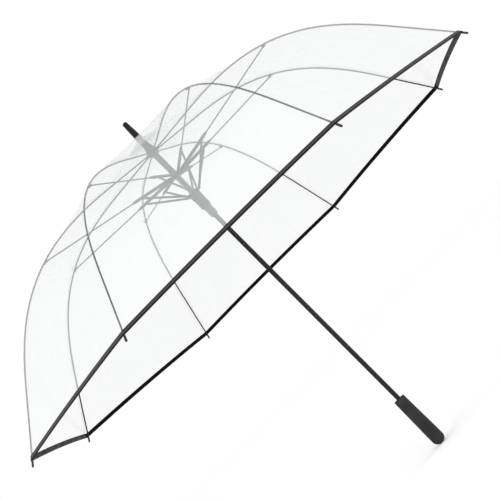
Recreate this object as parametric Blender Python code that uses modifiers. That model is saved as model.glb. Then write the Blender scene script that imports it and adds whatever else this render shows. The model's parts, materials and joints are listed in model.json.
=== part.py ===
"""Clear dome umbrella with a straight shaft, eight ribs and a sliding double-strut frame.

The object stands on +Z: the handle's round end is at the origin and the ferrule points up.
Each rib station has its own frame: x is radial, y is tangential and z is up. A rib lies in the
plane y = 0, and the bars that it carries lie beside it in named layers along y.
"""

import math

import bmesh
import bpy
import numpy as np

MM = 0.001

# Driving dimensions
RIB_COUNT = 8
RIB_LENGTH = 750 * MM  # from the crown pivot to the tip
TIP_LENGTH = 12.4 * MM  # of a rib beyond the hem
RIB_RADIUS = 1.5 * MM
RIB_START_SLOPE = math.radians(0)  # below the horizontal
RIB_END_SLOPE = math.radians(53)
RIB_BEND_START = 0.126  # share of the hem length where the rib starts to turn down
RIB_BEND_END = 0.844
FLEX_PAST_BRACKET = 54 * MM  # where the rib's bend is gathered, beyond the arm's length
TIP_WALL = 0.8 * MM

ARM_LENGTH = 326 * MM  # stretcher, and crown pivot to rib bracket
CLOSED_ANGLE = math.radians(87.6)  # of the arm below the horizontal
STRUT_JOINT = 84 * MM  # hub pivot to strut pivot, along the stretcher
RUNNER_DROP = 55 * MM  # runner pivots below hub pivots, open

SHAFT_RADIUS = 5.25 * MM
SHAFT_WALL = 1.0 * MM
SHAFT_BOTTOM = 20 * MM
SHAFT_IN_FERRULE = 34 * MM

GRIP_LENGTH = 125 * MM
GRIP_TOP_RADIUS = 13.2 * MM
GRIP_BELLY_RADIUS = 14.6 * MM
GRIP_BELLY_HEIGHT = 30 * MM
GRIP_DOME = 13 * MM

FERRULE_LENGTH = 48.5 * MM
FERRULE_BASE_WALL = 2.65 * MM
FERRULE_TIP_WALL = 0.15 * MM
WASHER_THICKNESS = 2.0 * MM
WASHER_RIM = 3.85 * MM

FILM_THICKNESS = 0.4 * MM
FILM_LIFT = 0.8 * MM  # from the rib's surface to the film's middle
FILM_RISE = 42 * MM  # ferrule's base above the crown pivots
FILM_JOIN = 110 * MM  # along the rib, where the film comes down onto the ribs
FILM_APEX_RIM = 1.85 * MM
HEM_WIDTH = 7 * MM
HEM_THICKNESS = 1.2 * MM

PIN_RADIUS = 0.9 * MM
PLATE = 2.6 * MM  # thickness of stretchers, struts and tongues
EYE_WALL = 1.3 * MM
EYE_PROUD = 0.2 * MM  # of the stretcher's eye above the rib's centreline
ROD_HALF_HEIGHT = 1.2 * MM
ARM_HALF_HEIGHT = 2.6 * MM
ARM_PAST_STRUT = 12 * MM
ARM_TAPER = 10 * MM
STRUT_HALF_HEIGHT = 1.8 * MM
RIVET_HEAD = 0.6 * MM
BRACKET_WALL = 1.0 * MM
BRACKET_LENGTH = 12 * MM

HUB_WALL = 3.4 * MM
HUB_HALF_HEIGHT = 6 * MM
TONGUE_REACH = 5 * MM  # of the hub's pivots beyond its wall
RUNNER_HEAD = 4 * MM  # runner's top above its pivots
RUNNER_LENGTH = 45 * MM
RUNNER_TOP_WALL = 7.4 * MM
RUNNER_END_WALL = 6.4 * MM
RUNNER_TONGUE_REACH = 2.5 * MM
SLEEVE_LENGTH = 24.8 * MM
SLEEVE_WALL = 3.4 * MM
SPACER_WALL = 1.65 * MM
NOTCH_WALL = 6.45 * MM
NOTCH_TOP_WALL = 1.45 * MM
NOTCH_BELOW = 8 * MM
NOTCH_ABOVE = 7 * MM

SPRING_CLEARANCE = 1.5 * MM
SPRING_WIRE = 0.7 * MM
SPRING_TURNS = 9

BUTTON_BELOW_TOP = 25 * MM
BUTTON_LENGTH = 15 * MM
BUTTON_WIDTH = 8 * MM
BUTTON_PROUD = 1.8 * MM
BUTTON_TRAVEL = 1.6 * MM
BUTTON_DEPTH = 5 * MM

# Clearances
GAP = 0.3 * MM  # between pieces that touch
SLIDE_GAP = 0.35 * MM  # between the shaft and what slides on it
LAYER_GAP = 0.4 * MM
EDGE_GAP = 0.25 * MM  # from a film edge to the plane of its rib
CLOSED_GAP = 1.3 * MM  # between the closed runner and the handle

ROUND_STEPS = 32
SMALL_STEPS = 12
STATION_STEP = 2 * math.pi / RIB_COUNT
HALF_STEP = STATION_STEP / 2

# Radii that follow the shaft
SLIDE_BORE = SHAFT_RADIUS + SLIDE_GAP
FIXED_BORE = SHAFT_RADIUS + GAP
HUB_RADIUS = SLIDE_BORE + HUB_WALL
PIVOT_RING = HUB_RADIUS + TONGUE_REACH  # radius of the circle of pivots, at crown and hub
NOTCH_RADIUS = FIXED_BORE + NOTCH_WALL
NOTCH_TOP_RADIUS = FIXED_BORE + NOTCH_TOP_WALL
SPACER_RADIUS = FIXED_BORE + SPACER_WALL
RUNNER_TOP_RADIUS = SLIDE_BORE + RUNNER_TOP_WALL
RUNNER_END_RADIUS = SLIDE_BORE + RUNNER_END_WALL
RUNNER_RING = RUNNER_TOP_RADIUS + RUNNER_TONGUE_REACH
SLEEVE_RADIUS = SLIDE_BORE + SLEEVE_WALL
SPRING_RADIUS = SLIDE_BORE + SPRING_CLEARANCE + SPRING_WIRE
FERRULE_BASE_RADIUS = FIXED_BORE + FERRULE_BASE_WALL
FERRULE_TIP_RADIUS = FIXED_BORE + FERRULE_TIP_WALL
WASHER_RADIUS = FIXED_BORE + WASHER_RIM
FILM_APEX_RADIUS = FIXED_BORE + FILM_APEX_RIM

# Sizes that follow the rib and the pins
HEM_LENGTH = RIB_LENGTH - TIP_LENGTH
RIB_FLEX = ARM_LENGTH + FLEX_PAST_BRACKET
TIP_RADIUS = RIB_RADIUS + TIP_WALL
FILM_OFFSET = RIB_RADIUS + FILM_LIFT
EYE_RADIUS = PIN_RADIUS + GAP + EYE_WALL
BRACKET_RADIUS = RIB_RADIUS + BRACKET_WALL
BRACKET_DROP = BRACKET_WALL  # of the bracket sleeve's centre below the rib's
BRACKET_HANG = EYE_RADIUS - EYE_PROUD  # of the bracket's pin below the rib's centreline

# Layers along a station's y
STRETCHER_Y = BRACKET_RADIUS + GAP + PLATE / 2
HUB_TONGUE_Y = STRETCHER_Y - PLATE - LAYER_GAP
STRUT_Y = STRETCHER_Y + PLATE + LAYER_GAP
NOTCH_TONGUE_Y = RIB_RADIUS + GAP + PLATE / 2


def rib_law(samples=1501):
    """Arc length, radius, drop below the crown pivot and slope along a rib, pivot to tip.

    The slope goes from its start to its end value as a smooth step between the two bend shares.
    """
    length = np.linspace(0, RIB_LENGTH, samples)
    share = (length / HEM_LENGTH - RIB_BEND_START) / (RIB_BEND_END - RIB_BEND_START)
    share = np.clip(share, 0, 1)
    slope = RIB_START_SLOPE + (RIB_END_SLOPE - RIB_START_SLOPE) * share**2 * (3 - 2 * share)
    middle = (slope[1:] + slope[:-1]) / 2
    step = length[1]
    radius = PIVOT_RING + np.concatenate([[0], np.cumsum(np.cos(middle)) * step])
    drop = np.concatenate([[0], np.cumsum(np.sin(middle)) * step])
    return length, radius, drop, slope


LAW = rib_law()


def bracket_place():
    """Arc length and angle below the horizontal of the pin that hangs under the rib at arm's length."""
    length, radius, drop, slope = LAW
    out = radius - BRACKET_HANG * np.sin(slope) - PIVOT_RING
    down = drop + BRACKET_HANG * np.cos(slope)
    place = np.interp(ARM_LENGTH, np.hypot(out, down), length)
    angle = math.atan2(np.interp(place, length, down), np.interp(place, length, out))
    return float(place), angle


BRACKET_PLACE, OPEN_ANGLE = bracket_place()

# The fold: the hub stays under the crown pivots, because both arms have the same length
HUB_DROP = 2 * ARM_LENGTH * math.sin(OPEN_ANGLE)
STRUT_OUT = PIVOT_RING + STRUT_JOINT * math.cos(OPEN_ANGLE) - RUNNER_RING
STRUT_DOWN = RUNNER_DROP + STRUT_JOINT * math.sin(OPEN_ANGLE)
STRUT_LENGTH = math.hypot(STRUT_OUT, STRUT_DOWN)
STRUT_CLOSED_OUT = PIVOT_RING + STRUT_JOINT * math.cos(CLOSED_ANGLE) - RUNNER_RING
STRUT_CLOSED_DOWN = math.sqrt(STRUT_LENGTH**2 - STRUT_CLOSED_OUT**2)
CLOSED_RUNNER_DROP = STRUT_CLOSED_DOWN - STRUT_JOINT * math.sin(CLOSED_ANGLE)

# Heights, from the handle up: closed, the runner's sleeve comes down to the handle's top
CLOSED_RUNNER_Z = GRIP_LENGTH + CLOSED_GAP + SLEEVE_LENGTH + GAP + RUNNER_LENGTH - RUNNER_HEAD
CROWN_Z = CLOSED_RUNNER_Z + CLOSED_RUNNER_DROP + 2 * ARM_LENGTH * math.sin(CLOSED_ANGLE)
HUB_Z = CROWN_Z - HUB_DROP
RUNNER_PIVOT_Z = HUB_Z - RUNNER_DROP
SLEEVE_TOP = RUNNER_PIVOT_Z + RUNNER_HEAD - RUNNER_LENGTH - GAP
FERRULE_BASE = CROWN_Z + FILM_RISE
SHAFT_TOP = FERRULE_BASE + SHAFT_IN_FERRULE
WASHER_TOP = FERRULE_BASE - GAP
FILM_APEX_Z = WASHER_TOP - WASHER_THICKNESS - GAP - FILM_THICKNESS
NOTCH_TOP = FILM_APEX_Z - FILM_THICKNESS - GAP
BUTTON_HEIGHT = GRIP_LENGTH - BUTTON_BELOW_TOP


def rib_at(length, offset=0.0):
    """Radius and height of the rib's centreline at an arc length, moved out along its normal."""
    radius = np.interp(length, LAW[0], LAW[1])
    height = CROWN_Z - np.interp(length, LAW[0], LAW[2])
    slope = np.interp(length, LAW[0], LAW[3])
    return radius + offset * np.sin(slope), height + offset * np.cos(slope)


# Places of the pivots, as (radius, height)
NOTCH_PIVOT = (PIVOT_RING, CROWN_Z)
BRACKET_PIVOT = (
    PIVOT_RING + ARM_LENGTH * math.cos(OPEN_ANGLE),
    CROWN_Z - ARM_LENGTH * math.sin(OPEN_ANGLE),
)
HUB_PIVOT = (PIVOT_RING, HUB_Z)
STRUT_PIVOT = (RUNNER_RING + STRUT_OUT, RUNNER_PIVOT_Z + STRUT_DOWN)
RUNNER_PIVOT = (RUNNER_RING, RUNNER_PIVOT_Z)
FLEX_PIVOT = tuple(float(v) for v in rib_at(RIB_FLEX))

COLLECTION = bpy.data.collections.new("clear_dome_umbrella")
CUTTERS = bpy.data.collections.new("cutters")


def clear_scene():
    for item in list(bpy.data.objects):
        bpy.data.objects.remove(item, do_unlink=True)
    for collection in (COLLECTION, CUTTERS):
        bpy.context.scene.collection.children.link(collection)


def material(name, colour, roughness, metallic=0.0, alpha=1.0):
    made = bpy.data.materials.new(name)
    made.use_nodes = True
    shader = made.node_tree.nodes["Principled BSDF"]
    shader.inputs["Base Color"].default_value = (*colour, 1.0)
    shader.inputs["Roughness"].default_value = roughness
    shader.inputs["Metallic"].default_value = metallic
    shader.inputs["Alpha"].default_value = alpha
    return made


def add_object(name, data, collection=COLLECTION):
    made = bpy.data.objects.new(name, data)
    collection.objects.link(made)
    if collection is CUTTERS:
        made.hide_render = True
        made.display_type = "WIRE"
    return made


def finish(item, look):
    """Gives an object its material and smooth shading with sharp edges kept."""
    item.data.materials.clear()
    item.data.materials.append(look)
    item.data.shade_smooth()
    item.data.set_sharp_from_angle(angle=math.radians(35))
    return item


def baked(item):
    """The object's evaluated shape as a welded mesh in its own coordinates; the object is removed."""
    bpy.context.view_layer.update()
    graph = bpy.context.evaluated_depsgraph_get()
    mesh = bpy.data.meshes.new_from_object(item.evaluated_get(graph))
    form = bmesh.new()
    form.from_mesh(mesh)
    bmesh.ops.remove_doubles(form, verts=form.verts, dist=0.00001)
    form.to_mesh(mesh)
    form.free()
    bpy.data.objects.remove(item, do_unlink=True)
    return mesh


def turned(name, profile, steps=ROUND_STEPS, collection=COLLECTION, ring=True):
    """A turned shape: a ring's profile is a closed loop, another's starts and ends on the axis."""
    count = len(profile)
    edges = [(i, i + 1) for i in range(count - 1)]
    if ring:
        edges.append((count - 1, 0))
    mesh = bpy.data.meshes.new(name)
    mesh.from_pydata([(r, 0, z) for r, z in profile], edges, [])
    made = add_object(name, mesh, collection)
    screw = made.modifiers.new("turn", "SCREW")
    screw.steps = steps
    screw.render_steps = steps
    screw.use_merge_vertices = True
    screw.merge_threshold = 0.00001
    return made


def arc(centre, radius, start, end, points):
    """Points on an arc in a plane, from one angle to another in degrees."""
    angles = np.radians(np.linspace(start, end, points))
    return [
        (centre[0] + radius * math.cos(a), centre[1] + radius * math.sin(a)) for a in angles
    ]


def flat_bar(name, outline, holes, thickness, layer):
    """A flat outline in the station's x-z plane, with round holes, extruded about a layer in y."""
    curve = bpy.data.curves.new(name, "CURVE")
    curve.dimensions = "2D"
    curve.fill_mode = "BOTH"
    curve.extrude = thickness / 2
    hole_rings = [arc(c, r, 0, 360 - 360 / SMALL_STEPS, SMALL_STEPS) for c, r in holes]
    for ring in [outline, *hole_rings]:
        spline = curve.splines.new("POLY")
        spline.points.add(len(ring) - 1)
        for point, (x, z) in zip(spline.points, ring):
            point.co = (x, z, 0, 1)
        spline.use_cyclic_u = True
    mesh = baked(add_object(name, curve, CUTTERS))
    for vertex in mesh.vertices:
        x, z, depth = vertex.co
        vertex.co = (x, layer - depth, z)
    return mesh


def rod_mesh(name, path, radii, sides_resolution=2):
    """A round rod along a path of points, with a radius at each point."""
    curve = bpy.data.curves.new(name, "CURVE")
    curve.dimensions = "3D"
    curve.bevel_depth = 1.0
    curve.bevel_resolution = sides_resolution
    curve.use_fill_caps = True
    spline = curve.splines.new("POLY")
    spline.points.add(len(path) - 1)
    for point, place, radius in zip(spline.points, path, radii):
        point.co = (*place, 1)
        point.radius = radius
    return baked(add_object(name, curve, CUTTERS))


def cylinder_y(name, centre, radius, low, high, steps=SMALL_STEPS):
    """A cylinder along y between two values of y, centred on an x-z point."""
    form = bmesh.new()
    bmesh.ops.create_cone(
        form,
        cap_ends=True,
        segments=steps,
        radius1=radius,
        radius2=radius,
        depth=high - low,
    )
    for vertex in form.verts:
        x, z, depth = vertex.co
        vertex.co = (centre[0] + x, (low + high) / 2 - depth, centre[1] + z)
    mesh = bpy.data.meshes.new(name)
    form.to_mesh(mesh)
    form.free()
    return mesh


def cylinder_between(name, start, end, radius, steps=SMALL_STEPS):
    """A cylinder in the plane y = 0 from one x-z point to another."""
    form = bmesh.new()
    span = (end[0] - start[0], end[1] - start[1])
    length = math.hypot(*span)
    bmesh.ops.create_cone(
        form, cap_ends=True, segments=steps, radius1=radius, radius2=radius, depth=length
    )
    along = (span[0] / length, span[1] / length)
    for vertex in form.verts:
        across, y, depth = vertex.co
        share = depth + length / 2
        vertex.co = (
            start[0] + along[0] * share + along[1] * across,
            y,
            start[1] + along[1] * share - along[0] * across,
        )
    mesh = bpy.data.meshes.new(name)
    form.to_mesh(mesh)
    form.free()
    return mesh


def box_mesh(name, low, high):
    form = bmesh.new()
    bmesh.ops.create_cube(form, size=1.0)
    for vertex in form.verts:
        vertex.co = [
            (a + b) / 2 + c * (b - a) for a, b, c in zip(low, high, vertex.co)
        ]
    mesh = bpy.data.meshes.new(name)
    form.to_mesh(mesh)
    form.free()
    return mesh


def all_stations(name, mesh):
    """One mesh with a copy of a station's shape at each of the eight stations."""
    form = bmesh.new()
    for index in range(RIB_COUNT):
        azimuth = station_azimuth(index)
        start = len(form.verts)
        form.from_mesh(mesh)
        form.verts.ensure_lookup_table()
        cosine = math.cos(azimuth)
        sine = math.sin(azimuth)
        for vertex in form.verts[start:]:
            x, y, z = vertex.co
            vertex.co = (x * cosine - y * sine, x * sine + y * cosine, z)
    joined = bpy.data.meshes.new(name)
    form.to_mesh(joined)
    form.free()
    return joined


def combined(item, meshes, operation="UNION"):
    """Adds a Boolean for each mesh to an object and returns the object."""
    for number, mesh in enumerate(meshes):
        cutter = add_object(f"{item.name}_tool_{operation}_{number}", mesh, CUTTERS)
        boolean = item.modifiers.new(f"{operation.lower()}_{number}", "BOOLEAN")
        boolean.operation = operation
        boolean.object = cutter
    return item


def station_azimuth(index):
    return HALF_STEP + index * STATION_STEP


def station_empty(name, pivot, azimuth):
    """An empty on a joint's axis, turned so that its x points outwards."""
    empty = add_object(name, None)
    empty.location = (pivot[0] * math.cos(azimuth), pivot[0] * math.sin(azimuth), pivot[1])
    empty.rotation_euler = (0, 0, azimuth)
    empty.empty_display_size = 0.01
    return empty


def at_stations(name, mesh, pivot, look, shift=0.0):
    """A copy of a mesh, which is drawn about its pivot, at each of the eight stations."""
    for index in range(RIB_COUNT):
        azimuth = station_azimuth(index) + shift
        number = index + 1
        made = add_object(f"{name}_{number}", mesh)
        made.parent = station_empty(f"{name}_{number}_axis", pivot, azimuth)
        finish(made, look)


def relative(points, pivot):
    return [(x - pivot[0], z - pivot[1]) for x, z in points]


def rib_path(lengths, pivot):
    """Points of the rib's centreline at some arc lengths, drawn about a pivot."""
    radius, height = rib_at(np.array(lengths))
    return [(r - pivot[0], 0, z - pivot[1]) for r, z in zip(radius, height)]


def build_rib_inner(look):
    """Crown eye, rod up to the flex point, and the bracket sleeve with its pin."""
    lengths = np.linspace(EYE_RADIUS * 0.6, RIB_FLEX - RIB_RADIUS - GAP, 11)
    rod = rod_mesh("rib_rod", rib_path(lengths, NOTCH_PIVOT), [RIB_RADIUS] * len(lengths))
    eye_hole = PIN_RADIUS + GAP
    ring = arc((0, 0), EYE_RADIUS, 0, 360 - 22.5, 16)
    eye = flat_bar("rib_eye", ring, [], 2 * RIB_RADIUS * 0.8, 0)
    hole = cylinder_y("rib_eye_hole", (0, 0), eye_hole, -PLATE, PLATE)
    slope = np.interp(BRACKET_PLACE, LAW[0], LAW[3])
    middle = np.array(rib_at(BRACKET_PLACE, -BRACKET_DROP)) - NOTCH_PIVOT
    reach = BRACKET_LENGTH / 2 * np.array([math.cos(slope), -math.sin(slope)])
    ends = (middle - reach, middle + reach)
    sleeve = cylinder_between("bracket_sleeve", ends[0], ends[1], BRACKET_RADIUS)
    pin_centre = relative([BRACKET_PIVOT], NOTCH_PIVOT)[0]
    pin = cylinder_y("bracket_pin", pin_centre, PIN_RADIUS, -RIB_RADIUS, STRETCHER_Y + PLATE / 2)
    whole = combined(add_object("rib_inner_form", rod, CUTTERS), [eye, sleeve, pin])
    mesh = baked(combined(whole, [hole], "DIFFERENCE"))
    at_stations("rib_inner", mesh, NOTCH_PIVOT, look)


def build_rib_outer(look):
    """Ball-ended rod from the flex point to the tip, with the tip's moulded cap."""
    ball = np.linspace(-0.96, 0, 5) * RIB_RADIUS
    ball_radii = np.sqrt(RIB_RADIUS**2 - ball**2)
    cap_start = HEM_LENGTH + GAP
    rod = np.linspace(RIB_FLEX, cap_start, 11)[1:]
    cap = [cap_start + 0.4 * MM, RIB_LENGTH - 1.2 * MM, RIB_LENGTH]
    lengths = np.concatenate([RIB_FLEX + ball, rod, cap])
    radii = [*ball_radii, *[RIB_RADIUS] * len(rod), TIP_RADIUS, TIP_RADIUS, TIP_RADIUS * 0.7]
    mesh = rod_mesh("rib_outer_form", rib_path(lengths, FLEX_PIVOT), radii)
    at_stations("rib_outer", mesh, FLEX_PIVOT, look)


def along_bar(start, end, points):
    """Turns points (distance along, distance across) of a bar into x-z points about its start."""
    length = math.dist(start, end)
    direction = ((end[0] - start[0]) / length, (end[1] - start[1]) / length)
    return [
        (u * direction[0] - v * direction[1], u * direction[1] + v * direction[0])
        for u, v in points
    ]


def build_stretcher(look):
    """Thick arm from the hub past the strut's pin, then a slender rod to the bracket's eye."""
    hole = PIN_RADIUS + GAP
    reach = math.sqrt(EYE_RADIUS**2 - ROD_HALF_HEIGHT**2)
    eye_angle = math.degrees(math.asin(ROD_HALF_HEIGHT / EYE_RADIUS))
    arm_end = STRUT_JOINT + ARM_PAST_STRUT
    taper_end = arm_end + ARM_TAPER
    outline = [
        *arc((0, 0), ARM_HALF_HEIGHT, 90, 270, 9),
        (arm_end, -ARM_HALF_HEIGHT),
        (taper_end, -ROD_HALF_HEIGHT),
        (ARM_LENGTH - reach, -ROD_HALF_HEIGHT),
        *arc((ARM_LENGTH, 0), EYE_RADIUS, -180 + eye_angle, 180 - eye_angle, 14)[1:-1],
        (ARM_LENGTH - reach, ROD_HALF_HEIGHT),
        (taper_end, ROD_HALF_HEIGHT),
        (arm_end, ARM_HALF_HEIGHT),
    ]
    placed = along_bar(HUB_PIVOT, BRACKET_PIVOT, outline)
    shift = relative([HUB_PIVOT], BRACKET_PIVOT)[0]
    placed = [(x + shift[0], z + shift[1]) for x, z in placed]
    strut_pin = relative([STRUT_PIVOT], BRACKET_PIVOT)[0]
    bar = flat_bar("stretcher_bar", placed, [(shift, hole), ((0, 0), hole)], PLATE, STRETCHER_Y)
    pin = cylinder_y(
        "strut_pin", strut_pin, PIN_RADIUS, STRETCHER_Y, STRUT_Y + PLATE / 2
    )
    mesh = baked(combined(add_object("stretcher_form", bar, CUTTERS), [pin]))
    at_stations("stretcher", mesh, BRACKET_PIVOT, look)


def build_strut(look):
    """Short flat strut from the stretcher's pin down to its own rivet beside the runner's tongue."""
    outline = [
        *arc((0, 0), EYE_RADIUS * 0.9, 105, 255, 8),
        *[(STRUT_LENGTH * 0.5, -STRUT_HALF_HEIGHT * 0.8)],
        *arc((STRUT_LENGTH, 0), EYE_RADIUS * 0.9, -75, 75, 8),
        *[(STRUT_LENGTH * 0.5, STRUT_HALF_HEIGHT * 0.8)],
    ]
    placed = along_bar(STRUT_PIVOT, RUNNER_PIVOT, outline)
    bar = flat_bar("strut_bar", placed, [((0, 0), PIN_RADIUS + GAP)], PLATE, STRUT_Y)
    far = relative([RUNNER_PIVOT], STRUT_PIVOT)[0]
    head_end = STRUT_Y + PLATE / 2 + RIVET_HEAD
    head = cylinder_y("strut_rivet", far, PIN_RADIUS * 1.7, STRUT_Y, head_end)
    mesh = baked(combined(add_object("strut_form", bar, CUTTERS), [head]))
    at_stations("strut", mesh, STRUT_PIVOT, look)


def tongues(name, ring_radius, inside, layer):
    """The eight tongues that a ring carries, as a mesh about its own height."""
    tongue = box_mesh(
        f"{name}_tongue",
        (inside, layer - PLATE / 2, -EYE_RADIUS * 0.85),
        (ring_radius + EYE_RADIUS * 0.6, layer + PLATE / 2, EYE_RADIUS * 0.85),
    )
    return all_stations(f"{name}_tongues", tongue)


def pins(name, ring_radius, low, high):
    """The eight pins that stand on a ring's tongues, as a mesh about its own height."""
    pin = cylinder_y(f"{name}_pin", (ring_radius, 0), PIN_RADIUS, low, high)
    return all_stations(f"{name}_pins", pin)


def build_crown(plastic, clear):
    """Notch that carries the ribs, with the cone under the film, and the washer over the film."""
    profile = [
        (NOTCH_TOP_RADIUS, NOTCH_TOP - CROWN_Z),
        (NOTCH_RADIUS - 1.5 * MM, NOTCH_ABOVE + 4 * MM),
        (NOTCH_RADIUS, NOTCH_ABOVE),
        (NOTCH_RADIUS, -NOTCH_BELOW + 1 * MM),
        (NOTCH_RADIUS - 1 * MM, -NOTCH_BELOW),
        (FIXED_BORE, -NOTCH_BELOW),
        (FIXED_BORE, NOTCH_TOP - CROWN_Z),
    ]
    groove_profile = [
        (NOTCH_RADIUS + 2 * MM, 3.4 * MM),
        (NOTCH_RADIUS + 2 * MM, -3.4 * MM),
        (NOTCH_RADIUS - 3.2 * MM, -3.4 * MM),
        (NOTCH_RADIUS - 3.2 * MM, 3.4 * MM),
    ]
    notch = turned("crown_notch", profile)
    groove = baked(turned("groove", groove_profile, collection=CUTTERS))
    combined(notch, [groove], "DIFFERENCE")
    notch_tongues = tongues("notch", PIVOT_RING, NOTCH_RADIUS - 4 * MM, -NOTCH_TONGUE_Y)
    notch_pins = pins("notch", PIVOT_RING, -NOTCH_TONGUE_Y, RIB_RADIUS)
    combined(notch, [notch_tongues, notch_pins])
    raise_with_tools(notch, CROWN_Z)
    finish(notch, plastic)
    washer = turned(
        "crown_washer",
        [
            (WASHER_RADIUS - 1 * MM, WASHER_TOP),
            (WASHER_RADIUS, WASHER_TOP - WASHER_THICKNESS / 2),
            (WASHER_RADIUS, WASHER_TOP - WASHER_THICKNESS),
            (FIXED_BORE, WASHER_TOP - WASHER_THICKNESS),
            (FIXED_BORE, WASHER_TOP),
        ],
    )
    finish(washer, clear)


def build_ferrule(look):
    top = FERRULE_BASE + FERRULE_LENGTH
    edge = 0.8 * MM
    depth = SHAFT_TOP + GAP
    profile = [
        (0, top),
        (FERRULE_TIP_RADIUS - edge, top),
        (FERRULE_TIP_RADIUS - edge * 0.3, top - edge * 0.3),
        (FERRULE_TIP_RADIUS, top - edge),
        (FERRULE_BASE_RADIUS, FERRULE_BASE + edge),
        (FERRULE_BASE_RADIUS - edge * 0.5, FERRULE_BASE),
        (FIXED_BORE, FERRULE_BASE),
        (FIXED_BORE, depth),
        (0, depth),
    ]
    finish(turned("ferrule", profile, ring=False), look)


def build_shaft(look):
    profile = [
        (SHAFT_RADIUS, SHAFT_TOP),
        (SHAFT_RADIUS, SHAFT_BOTTOM),
        (SHAFT_RADIUS - SHAFT_WALL, SHAFT_BOTTOM),
        (SHAFT_RADIUS - SHAFT_WALL, SHAFT_TOP),
    ]
    finish(turned("shaft", profile), look)


def build_spacer(look):
    top = CROWN_Z - NOTCH_BELOW - GAP
    bottom = HUB_Z + HUB_HALF_HEIGHT + GAP
    profile = [
        (SPACER_RADIUS, top),
        (SPACER_RADIUS, bottom),
        (FIXED_BORE, bottom),
        (FIXED_BORE, top),
    ]
    finish(turned("spacer_tube", profile), look)


def build_hub(look):
    """Ring that slides on the shaft and carries the eight stretchers."""
    profile = [
        (HUB_RADIUS - 1 * MM, HUB_HALF_HEIGHT),
        (HUB_RADIUS, HUB_HALF_HEIGHT - 1 * MM),
        (HUB_RADIUS, -HUB_HALF_HEIGHT + 1 * MM),
        (HUB_RADIUS - 1 * MM, -HUB_HALF_HEIGHT),
        (SLIDE_BORE, -HUB_HALF_HEIGHT),
        (SLIDE_BORE, HUB_HALF_HEIGHT),
    ]
    hub = turned("hub", profile)
    hub_tongues = tongues("hub", PIVOT_RING, HUB_RADIUS - 1 * MM, HUB_TONGUE_Y)
    hub_pins = pins("hub", PIVOT_RING, HUB_TONGUE_Y, STRETCHER_Y + PLATE / 2)
    combined(hub, [hub_tongues, hub_pins])
    raise_with_tools(hub, HUB_Z)
    finish(hub, look)


def build_runner(look, sleeve_look):
    """Sliding runner that carries the struts, and the sleeve on its lower end."""
    top = RUNNER_HEAD
    bottom = RUNNER_HEAD - RUNNER_LENGTH
    edge = 1.5 * MM
    profile = [
        (RUNNER_TOP_RADIUS - edge, top),
        (RUNNER_TOP_RADIUS, top - edge),
        (RUNNER_TOP_RADIUS, top - RUNNER_LENGTH * 0.3),
        (RUNNER_END_RADIUS, bottom + edge),
        (RUNNER_END_RADIUS - edge, bottom),
        (SLIDE_BORE, bottom),
        (SLIDE_BORE, top),
    ]
    runner = turned("runner", profile)
    combined(runner, [tongues("runner", RUNNER_RING, RUNNER_TOP_RADIUS - 2 * MM, STRETCHER_Y)])
    raise_with_tools(runner, RUNNER_PIVOT_Z)
    finish(runner, look)
    sleeve_bottom = SLEEVE_TOP - SLEEVE_LENGTH
    sleeve = [
        (SLEEVE_RADIUS, SLEEVE_TOP),
        (SLEEVE_RADIUS - 0.4 * MM, sleeve_bottom + 0.8 * MM),
        (SLEEVE_RADIUS - 1.2 * MM, sleeve_bottom),
        (SLIDE_BORE, sleeve_bottom),
        (SLIDE_BORE, SLEEVE_TOP),
    ]
    finish(turned("runner_sleeve", sleeve), sleeve_look)


def raise_with_tools(item, height):
    """Lifts an object and the Boolean tools named after it."""
    item.location.z = height
    for tool in CUTTERS.objects:
        if tool.name.startswith(f"{item.name}_tool"):
            tool.location.z = height


def build_spring(look):
    """Coil spring between the hub and the runner."""
    top = HUB_Z - HUB_HALF_HEIGHT - GAP - SPRING_WIRE
    bottom = RUNNER_PIVOT_Z + RUNNER_HEAD + GAP + SPRING_WIRE
    points = SPRING_TURNS * 10
    turn = np.linspace(0, SPRING_TURNS * 2 * math.pi, points + 1)
    # the end turns lie flat, as a ground spring's do
    rise = np.clip((np.linspace(0, SPRING_TURNS, points + 1) - 1) / (SPRING_TURNS - 2), 0, 1)
    rise = rise * (1 - 2 * SPRING_WIRE / (top - bottom) * 2.2) + SPRING_WIRE * 2.2 / (top - bottom)
    end_lift = np.clip(1 - np.linspace(0, SPRING_TURNS, points + 1), 0, 1)
    end_drop = np.clip(np.linspace(0, SPRING_TURNS, points + 1) - SPRING_TURNS + 1, 0, 1)
    rise = rise + (end_drop - end_lift) * SPRING_WIRE * 2.2 / (top - bottom)
    path = [
        (SPRING_RADIUS * math.cos(t), SPRING_RADIUS * math.sin(t), bottom + (top - bottom) * h)
        for t, h in zip(turn, rise)
    ]
    mesh = rod_mesh("spring", path, [SPRING_WIRE] * len(path), 1)
    finish(add_object("spring", mesh), look)


def grip_radius(height):
    """Handle radius: it swells gently from the top down to the belly, then rounds off."""
    share = min(max((GRIP_LENGTH - height) / (GRIP_LENGTH - GRIP_BELLY_HEIGHT), 0), 1)
    swell = GRIP_TOP_RADIUS + (GRIP_BELLY_RADIUS - GRIP_TOP_RADIUS) * share
    if height >= GRIP_DOME:
        return swell
    down = 1 - height / GRIP_DOME
    return swell * math.sqrt(max(1 - down * down, 0))


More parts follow.
